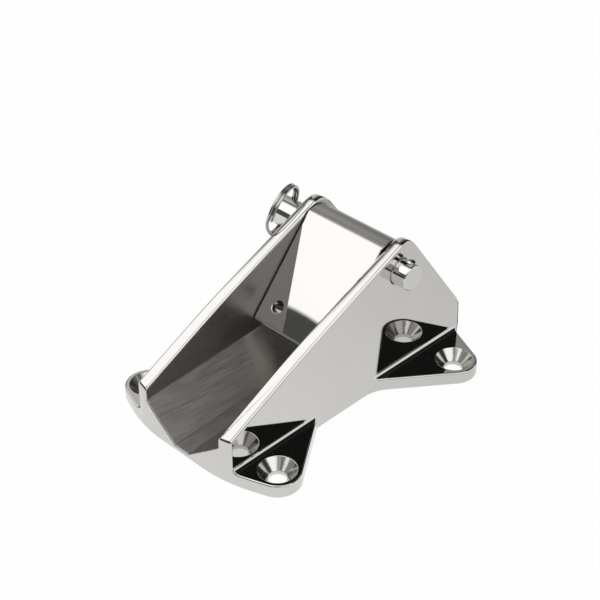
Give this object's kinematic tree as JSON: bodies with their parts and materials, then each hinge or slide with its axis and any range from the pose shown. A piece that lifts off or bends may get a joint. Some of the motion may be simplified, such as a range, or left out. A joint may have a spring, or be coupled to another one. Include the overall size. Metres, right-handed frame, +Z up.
{
  "type": "anchor chain stopper",
  "caption": "Deck chain stopper: a polished cast channel body with countersunk lugs and tall cheeks, a swinging pawl on a quick-release pin with a sprung ball and a pull ring.",
  "frame": {"origin": "middle of the part's box on the deck plane", "axes": "+X along the chain from the low nose to the tall end, +Y across towards the pin head and pull ring, +Z up from the deck"},
  "size_m": [0.1624, 0.122, 0.0856],
  "materials": {
    "body_steel": "mirror polished stainless casting, satin inside the channel",
    "pawl_steel": "polished face, satin barrel",
    "pin_steel": "polished stainless bar",
    "ball_steel": "polished steel ball",
    "spring_steel": "drawn spring wire",
    "ring_steel": "polished drawn wire"
  },
  "bodies": {
    "body": {"body": "body_steel"},
    "pawl": {"pawl": "pawl_steel"},
    "pin": {"hinge_pin": "pin_steel", "detent_spring": "spring_steel"},
    "ball": {"detent_ball": "ball_steel"},
    "ring": {"pull_ring": "ring_steel"}
  },
  "joints": [
    {"name": "pawl_swing", "type": "hinge", "parent": "body", "child": "pawl", "pos_m": [0.0338, 0, 0.0641], "axis": [0, 1, 0], "range_deg": [0, 255]},
    {"name": "pin_spin", "type": "hinge", "parent": "body", "child": "pin", "pos_m": [0.0338, 0, 0.0641], "axis": [0, 1, 0], "continuous": true},
    {"name": "ball_press", "type": "slide", "parent": "pin", "child": "ball", "axis": [0.5736, 0, 0.8192], "range_m": [-0.0015, 0], "stiffness_N_per_m": 1000, "springref_m": 0.003, "deforming": ["detent_spring"]},
    {"name": "ring_swing", "type": "hinge", "parent": "pin", "child": "ring", "pos_m": [0.0338, 0.04365, 0.0641], "axis": [-0.6613, 0, -0.7501], "range_deg": [0, 215]}
  ]
}
